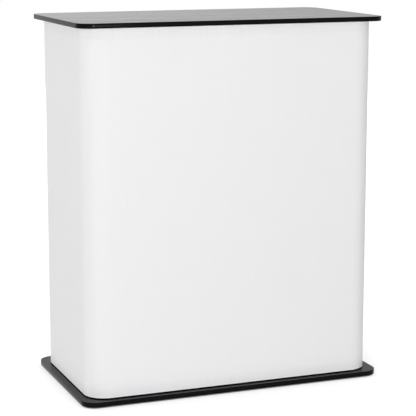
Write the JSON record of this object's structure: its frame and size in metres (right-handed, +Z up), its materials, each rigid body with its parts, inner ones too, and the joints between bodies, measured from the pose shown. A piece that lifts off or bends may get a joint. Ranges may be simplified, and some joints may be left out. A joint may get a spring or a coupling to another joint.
{
  "type": "trade show counter",
  "caption": "Portable display counter: black rounded top and base boards, a white fluted wrap round front and sides, posts and a shelf inside, open rear, lift-off top.",
  "frame": {"origin": "on the floor, under the middle of the counter", "axes": "+X along the front towards the viewer's right, +Y from the front to the open rear, +Z up"},
  "size_m": [0.8, 0.44, 0.935],
  "materials": {
    "black_laminate": "satin black laminate on fibreboard",
    "black_edge_band": "glossy",
    "black_fibreboard": "painted matt black",
    "white_fluted_sheet": "satin, faintly translucent",
    "black_tape": "hook pile",
    "white_tape": "loop pile",
    "post_aluminium": "satin anodised",
    "black_nylon": "moulded",
    "zinc_steel": "zinc plated",
    "black_rubber": "matt"
  },
  "bodies": {
    "frame": {"base_board": "black_laminate", "base_edge_band": "black_edge_band", "base_plinth": "black_fibreboard", "base_hook_tape": "black_tape", "base_plinth_screws": "zinc_steel", "rubber_feet": "black_rubber", "post_bolts": "zinc_steel", "lower_post_front_left": "post_aluminium", "lower_post_front_right": "post_aluminium", "lower_post_rear_left": "post_aluminium", "lower_post_rear_right": "post_aluminium", "lower_post_foot_inserts": "black_nylon", "lower_post_head_inserts": "black_nylon", "joining_studs": "zinc_steel", "shelf_board": "black_laminate", "shelf_edge_band": "black_edge_band", "upper_post_front_left": "post_aluminium", "upper_post_front_right": "post_aluminium", "upper_post_rear_left": "post_aluminium", "upper_post_rear_right": "post_aluminium", "upper_post_foot_inserts": "black_nylon", "post_pins": "black_nylon", "wrap_panel": "white_fluted_sheet", "wrap_upper_loop_tape": "white_tape", "wrap_lower_loop_tape": "white_tape"},
    "top": {"top_board": "black_laminate", "top_edge_band": "black_edge_band", "top_plinth": "black_fibreboard", "top_hook_tape": "black_tape", "top_plinth_screws": "zinc_steel", "pin_sockets": "zinc_steel"}
  },
  "joints": [
    {"name": "top_lift", "type": "slide", "parent": "frame", "child": "top", "axis": [0, 0, 1], "range_m": [0, 0.12]}
  ]
}
